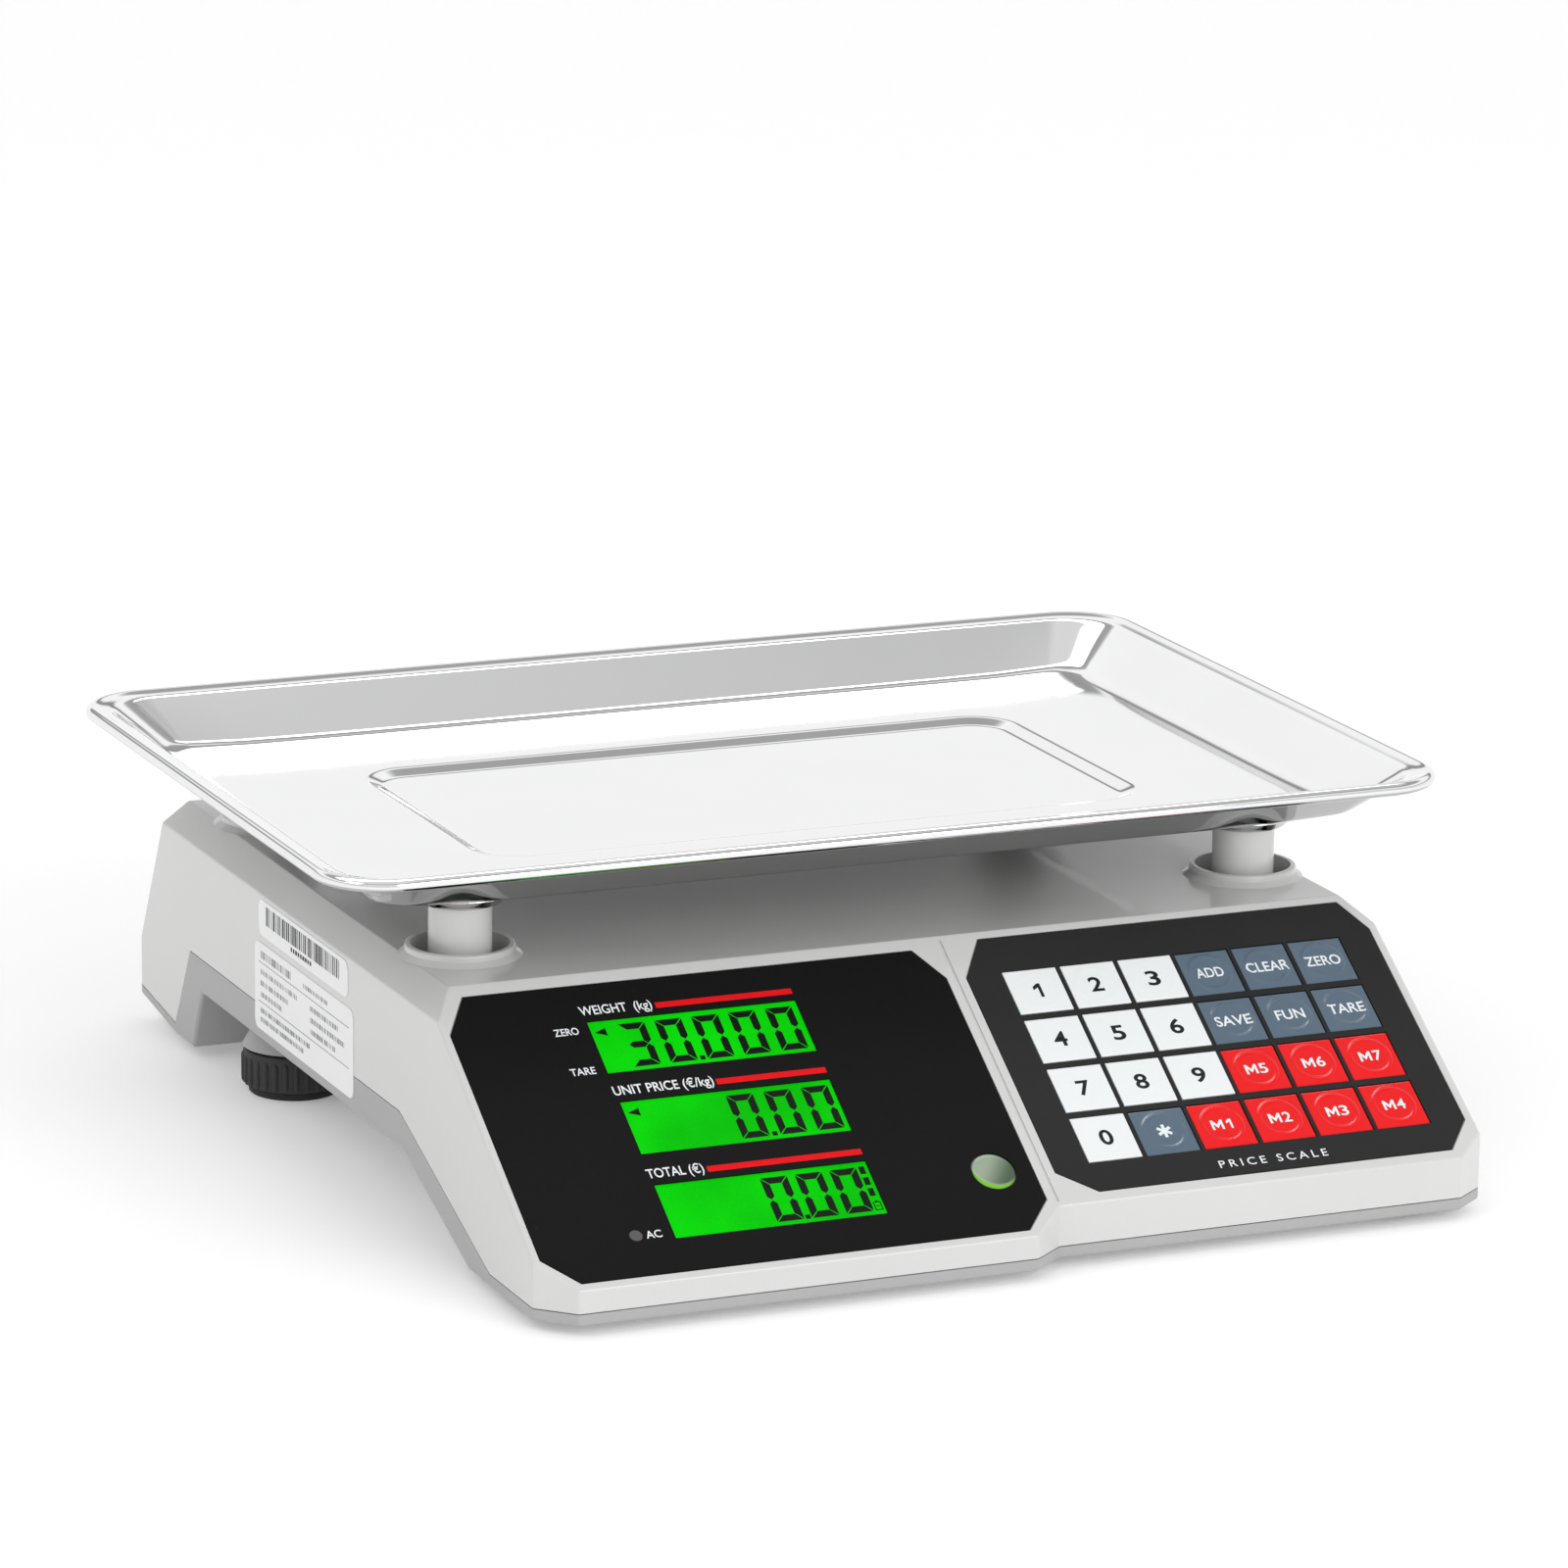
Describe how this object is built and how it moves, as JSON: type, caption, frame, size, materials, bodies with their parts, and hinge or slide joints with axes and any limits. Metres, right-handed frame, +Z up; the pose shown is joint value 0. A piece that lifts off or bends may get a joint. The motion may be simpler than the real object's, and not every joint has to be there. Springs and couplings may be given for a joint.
{
  "type": "retail price scale",
  "caption": "Counter price scale: stainless tray on four posts over a wedge housing with a sloped display and keypad in front and a customer display behind.",
  "frame": {"origin": "on the floor under the middle of the scale's overall length and depth", "axes": "+X to the operator's right, +Y towards the customer, +Z up; the display and keypad face -Y"},
  "size_m": [0.344, 0.334, 0.107],
  "materials": {
    "upper_plastic": "fine satin moulding",
    "lower_plastic": "fine texture",
    "knob_plastic": "moulded flutes",
    "rubber": "soft sole",
    "cushion_rubber": "soft seat",
    "zinc_steel": "zinc plated sheet",
    "aluminium": "as machined",
    "screw_steel": "plated",
    "post_plastic": "smooth",
    "pan_steel": "mirror polished stainless",
    "display_black": "printed polycarbonate",
    "overlay_black": "printed polyester",
    "lcd": "backlit liquid crystal",
    "circuit_board": "solder mask",
    "vial_glass": "clear acrylic",
    "indicator": "unlit diode lens",
    "sticker": "coated paper",
    "battery_case": "moulded case",
    "transformer_core": "laminated core",
    "black_plastic": "smooth",
    "key_white": "printed film",
    "key_slate": "printed film",
    "key_red": "printed film"
  },
  "bodies": {
    "base": {"ac_indicator": "indicator", "base_plate": "zinc_steel", "battery": "battery_case", "display_label": "display_black", "front_lcds": "lcd", "housing_screws": "screw_steel", "keypad_overlay": "overlay_black", "level_vial": "vial_glass", "load_cell": "aluminium", "load_cell_screws": "screw_steel", "lower_housing": "lower_plastic", "main_board": "circuit_board", "mains_inlet": "black_plastic", "rating_labels": "sticker", "rear_board": "circuit_board", "rear_label": "display_black", "rear_lcds": "lcd", "snap_domes": "screw_steel", "switch_body": "black_plastic", "transformer": "transformer_core", "upper_housing": "upper_plastic"},
    "platform": {"support_spider": "aluminium", "spider_screws": "screw_steel", "pan_posts": "post_plastic", "post_cushions": "cushion_rubber"},
    "pan": {"weighing_pan": "pan_steel"},
    "rocker": {"power_rocker": "black_plastic"},
    "hatch": {"battery_cover": "lower_plastic"},
    "key_01": {"key_01": "key_white"},
    "key_02": {"key_02": "key_white"},
    "key_03": {"key_03": "key_white"},
    "key_04": {"key_04": "key_slate"},
    "key_05": {"key_05": "key_slate"},
    "key_06": {"key_06": "key_slate"},
    "key_07": {"key_07": "key_white"},
    "key_08": {"key_08": "key_white"},
    "key_09": {"key_09": "key_white"},
    "key_10": {"key_10": "key_slate"},
    "key_11": {"key_11": "key_slate"},
    "key_12": {"key_12": "key_slate"},
    "key_13": {"key_13": "key_white"},
    "key_14": {"key_14": "key_white"},
    "key_15": {"key_15": "key_white"},
    "key_16": {"key_16": "key_red"},
    "key_17": {"key_17": "key_red"},
    "key_18": {"key_18": "key_red"},
    "key_19": {"key_19": "key_white"},
    "key_20": {"key_20": "key_slate"},
    "key_21": {"key_21": "key_red"},
    "key_22": {"key_22": "key_red"},
    "key_23": {"key_23": "key_red"},
    "key_24": {"key_24": "key_red"},
    "sole_front_left": {"foot_pad_front_left": "rubber"},
    "knob_front_left": {"foot_knob_front_left": "knob_plastic"},
    "sole_front_right": {"foot_pad_front_right": "rubber"},
    "knob_front_right": {"foot_knob_front_right": "knob_plastic"},
    "sole_rear_left": {"foot_pad_rear_left": "rubber"},
    "knob_rear_left": {"foot_knob_rear_left": "knob_plastic"},
    "sole_rear_right": {"foot_pad_rear_right": "rubber"},
    "knob_rear_right": {"foot_knob_rear_right": "knob_plastic"}
  },
  "joints": [
    {"name": "load_travel", "type": "slide", "parent": "base", "child": "platform", "axis": [0, 0, 1], "range_m": [-0.0005, 0], "stiffness_N_per_m": 60000, "springref_m": 0.0003, "deforming": ["load_cell"]},
    {"name": "pan_lift_off", "type": "slide", "parent": "platform", "child": "pan", "axis": [0, 0, 1], "range_m": [0, 0.06]},
    {"name": "power_switch", "type": "hinge", "parent": "base", "child": "rocker", "pos_m": [0.104, -0.018, 0.0225], "axis": [1, 0, 0], "range_deg": [0, 14]},
    {"name": "battery_cover_removal", "type": "slide", "parent": "base", "child": "hatch", "axis": [0, 0, -1], "range_m": [0, 0.03]},
    {"name": "key_01_press", "type": "slide", "parent": "base", "child": "key_01", "axis": [0, 0.5508, -0.8346], "range_m": [0, 0.0005], "stiffness_N_per_m": 400, "springref_m": -0.0005},
    {"name": "key_02_press", "type": "slide", "parent": "base", "child": "key_02", "axis": [0, 0.5508, -0.8346], "range_m": [0, 0.0005], "stiffness_N_per_m": 400, "springref_m": -0.0005},
    {"name": "key_03_press", "type": "slide", "parent": "base", "child": "key_03", "axis": [0, 0.5508, -0.8346], "range_m": [0, 0.0005], "stiffness_N_per_m": 400, "springref_m": -0.0005},
    {"name": "key_04_press", "type": "slide", "parent": "base", "child": "key_04", "axis": [0, 0.5508, -0.8346], "range_m": [0, 0.0005], "stiffness_N_per_m": 400, "springref_m": -0.0005},
    {"name": "key_05_press", "type": "slide", "parent": "base", "child": "key_05", "axis": [0, 0.5508, -0.8346], "range_m": [0, 0.0005], "stiffness_N_per_m": 400, "springref_m": -0.0005},
    {"name": "key_06_press", "type": "slide", "parent": "base", "child": "key_06", "axis": [0, 0.5508, -0.8346], "range_m": [0, 0.0005], "stiffness_N_per_m": 400, "springref_m": -0.0005},
    {"name": "key_07_press", "type": "slide", "parent": "base", "child": "key_07", "axis": [0, 0.5508, -0.8346], "range_m": [0, 0.0005], "stiffness_N_per_m": 400, "springref_m": -0.0005},
    {"name": "key_08_press", "type": "slide", "parent": "base", "child": "key_08", "axis": [0, 0.5508, -0.8346], "range_m": [0, 0.0005], "stiffness_N_per_m": 400, "springref_m": -0.0005},
    {"name": "key_09_press", "type": "slide", "parent": "base", "child": "key_09", "axis": [0, 0.5508, -0.8346], "range_m": [0, 0.0005], "stiffness_N_per_m": 400, "springref_m": -0.0005},
    {"name": "key_10_press", "type": "slide", "parent": "base", "child": "key_10", "axis": [0, 0.5508, -0.8346], "range_m": [0, 0.0005], "stiffness_N_per_m": 400, "springref_m": -0.0005},
    {"name": "key_11_press", "type": "slide", "parent": "base", "child": "key_11", "axis": [0, 0.5508, -0.8346], "range_m": [0, 0.0005], "stiffness_N_per_m": 400, "springref_m": -0.0005},
    {"name": "key_12_press", "type": "slide", "parent": "base", "child": "key_12", "axis": [0, 0.5508, -0.8346], "range_m": [0, 0.0005], "stiffness_N_per_m": 400, "springref_m": -0.0005},
    {"name": "key_13_press", "type": "slide", "parent": "base", "child": "key_13", "axis": [0, 0.5508, -0.8346], "range_m": [0, 0.0005], "stiffness_N_per_m": 400, "springref_m": -0.0005},
    {"name": "key_14_press", "type": "slide", "parent": "base", "child": "key_14", "axis": [0, 0.5508, -0.8346], "range_m": [0, 0.0005], "stiffness_N_per_m": 400, "springref_m": -0.0005},
    {"name": "key_15_press", "type": "slide", "parent": "base", "child": "key_15", "axis": [0, 0.5508, -0.8346], "range_m": [0, 0.0005], "stiffness_N_per_m": 400, "springref_m": -0.0005},
    {"name": "key_16_press", "type": "slide", "parent": "base", "child": "key_16", "axis": [0, 0.5508, -0.8346], "range_m": [0, 0.0005], "stiffness_N_per_m": 400, "springref_m": -0.0005},
    {"name": "key_17_press", "type": "slide", "parent": "base", "child": "key_17", "axis": [0, 0.5508, -0.8346], "range_m": [0, 0.0005], "stiffness_N_per_m": 400, "springref_m": -0.0005},
    {"name": "key_18_press", "type": "slide", "parent": "base", "child": "key_18", "axis": [0, 0.5508, -0.8346], "range_m": [0, 0.0005], "stiffness_N_per_m": 400, "springref_m": -0.0005},
    {"name": "key_19_press", "type": "slide", "parent": "base", "child": "key_19", "axis": [0, 0.5508, -0.8346], "range_m": [0, 0.0005], "stiffness_N_per_m": 400, "springref_m": -0.0005},
    {"name": "key_20_press", "type": "slide", "parent": "base", "child": "key_20", "axis": [0, 0.5508, -0.8346], "range_m": [0, 0.0005], "stiffness_N_per_m": 400, "springref_m": -0.0005},
    {"name": "key_21_press", "type": "slide", "parent": "base", "child": "key_21", "axis": [0, 0.5508, -0.8346], "range_m": [0, 0.0005], "stiffness_N_per_m": 400, "springref_m": -0.0005},
    {"name": "key_22_press", "type": "slide", "parent": "base", "child": "key_22", "axis": [0, 0.5508, -0.8346], "range_m": [0, 0.0005], "stiffness_N_per_m": 400, "springref_m": -0.0005},
    {"name": "key_23_press", "type": "slide", "parent": "base", "child": "key_23", "axis": [0, 0.5508, -0.8346], "range_m": [0, 0.0005], "stiffness_N_per_m": 400, "springref_m": -0.0005},
    {"name": "key_24_press", "type": "slide", "parent": "base", "child": "key_24", "axis": [0, 0.5508, -0.8346], "range_m": [0, 0.0005], "stiffness_N_per_m": 400, "springref_m": -0.0005},
    {"name": "foot_lift_front_left", "type": "slide", "parent": "base", "child": "sole_front_left", "axis": [0, 0, -1], "range_m": [0, 0.004]},
    {"name": "foot_turn_front_left", "type": "hinge", "parent": "sole_front_left", "child": "knob_front_left", "pos_m": [-0.122, -0.133, 0.006], "axis": [0, 0, -1], "range_deg": [0, 1150]},
    {"name": "foot_lift_front_right", "type": "slide", "parent": "base", "child": "sole_front_right", "axis": [0, 0, -1], "range_m": [0, 0.004]},
    {"name": "foot_turn_front_right", "type": "hinge", "parent": "sole_front_right", "child": "knob_front_right", "pos_m": [0.122, -0.133, 0.006], "axis": [0, 0, -1], "range_deg": [0, 1150]},
    {"name": "foot_lift_rear_left", "type": "slide", "parent": "base", "child": "sole_rear_left", "axis": [0, 0, -1], "range_m": [0, 0.004]},
    {"name": "foot_turn_rear_left", "type": "hinge", "parent": "sole_rear_left", "child": "knob_rear_left", "pos_m": [-0.1265, 0.0792, 0.006], "axis": [0, 0, -1], "range_deg": [0, 1150]},
    {"name": "foot_lift_rear_right", "type": "slide", "parent": "base", "child": "sole_rear_right", "axis": [0, 0, -1], "range_m": [0, 0.004]},
    {"name": "foot_turn_rear_right", "type": "hinge", "parent": "sole_rear_right", "child": "knob_rear_right", "pos_m": [0.1265, 0.0792, 0.006], "axis": [0, 0, -1], "range_deg": [0, 1150]}
  ],
  "couplings": [
    {"joint": "foot_lift_front_left", "follows": "foot_turn_front_left", "m_per_rad": 0.00019894},
    {"joint": "foot_lift_front_right", "follows": "foot_turn_front_right", "m_per_rad": 0.00019894},
    {"joint": "foot_lift_rear_left", "follows": "foot_turn_rear_left", "m_per_rad": 0.00019894},
    {"joint": "foot_lift_rear_right", "follows": "foot_turn_rear_right", "m_per_rad": 0.00019894}
  ]
}
